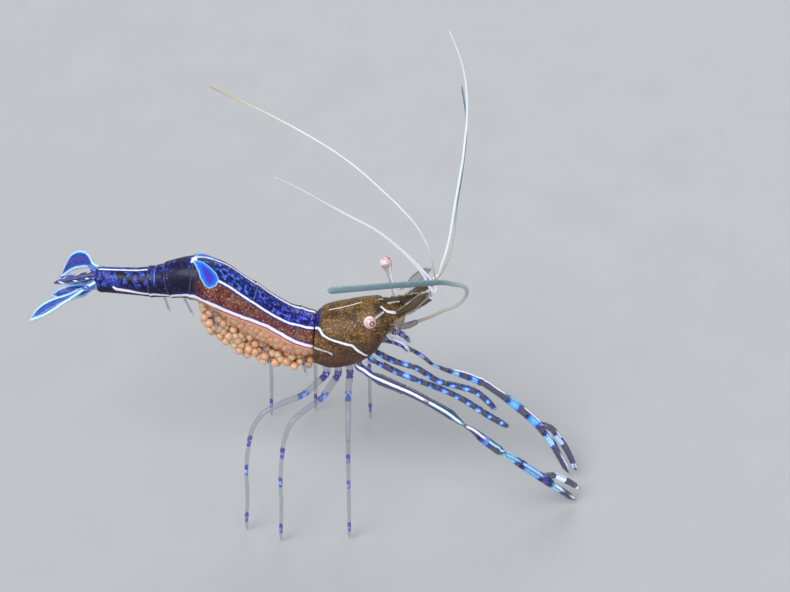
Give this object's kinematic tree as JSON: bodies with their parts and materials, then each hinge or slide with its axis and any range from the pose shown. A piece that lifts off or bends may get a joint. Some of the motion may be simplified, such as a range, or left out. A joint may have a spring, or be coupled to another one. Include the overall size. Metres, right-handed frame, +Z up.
{
  "type": "cleaner shrimp",
  "caption": "Gravid cleaner shrimp as a still, life-size model: clear body with white lines, blue and violet patches, an orange egg mass, stalked eyes and long white feelers.",
  "frame": {"origin": "the middle of the bounding box, on the floor that the feet stand on", "axes": "+X to the head and along the body, +Y to the animal's left, +Z up"},
  "size_m": [0.0376, 0.0162, 0.0332],
  "materials": {
    "carapace": "clear, glossy shell over olive-brown flesh",
    "abdomen": "clear, glossy shell with navy and blue blotches and white lines",
    "tail_fan": "clear, glossy blades with blue and violet spots and pale edges",
    "eggs": "moist, softly glossy eggs",
    "cornea": "glossy, finely faceted",
    "eyestalk": "semi-gloss, milky",
    "feelers": "satin, opaque white",
    "feeler_bases": "clear, glossy, white-tipped",
    "claws": "clear, glossy, with white, blue and violet bands",
    "walking_legs": "clear, glossy, faintly blue-ringed"
  },
  "bodies": {
    "root": {"abdomen_1": "abdomen", "abdomen_2": "abdomen", "abdomen_3": "abdomen", "abdomen_4": "abdomen", "abdomen_5": "abdomen", "abdomen_6": "abdomen", "antenna_left_far": "feelers", "antenna_left_near": "feelers", "antenna_peduncle_left": "feeler_bases", "antenna_peduncle_right": "feeler_bases", "antenna_right_far": "feelers", "antenna_right_near": "feelers", "antennal_scale_left": "feeler_bases", "antennal_scale_right": "feeler_bases", "antennule_inner_left_far": "feelers", "antennule_inner_left_near": "feelers", "antennule_inner_right_far": "feelers", "antennule_inner_right_near": "feelers", "antennule_outer_left_far": "feelers", "antennule_outer_left_near": "feelers", "antennule_outer_right_far": "feelers", "antennule_outer_right_near": "feelers", "antennule_peduncle_left": "feeler_bases", "antennule_peduncle_right": "feeler_bases", "carapace": "carapace", "cornea_left": "cornea", "cornea_right": "cornea", "egg_mass": "eggs", "eyestalk_left": "eyestalk", "eyestalk_right": "eyestalk", "first_leg_left": "claws", "first_leg_right": "claws", "head": "carapace", "maxilliped_left": "walking_legs", "maxilliped_right": "walking_legs", "rostrum": "carapace", "second_leg_arm_left": "claws", "second_leg_arm_right": "claws", "second_leg_claw_left": "claws", "second_leg_claw_right": "claws", "second_leg_finger_left": "claws", "second_leg_finger_right": "claws", "second_leg_wrist_left": "claws", "second_leg_wrist_right": "claws", "telson": "tail_fan", "uropod_inner_left": "tail_fan", "uropod_inner_right": "tail_fan", "uropod_outer_left": "tail_fan", "uropod_outer_right": "tail_fan", "walking_leg_3_left": "walking_legs", "walking_leg_3_right": "walking_legs", "walking_leg_4_left": "walking_legs", "walking_leg_4_right": "walking_legs", "walking_leg_5_left": "walking_legs", "walking_leg_5_right": "walking_legs"}
  },
  "joints": []
}
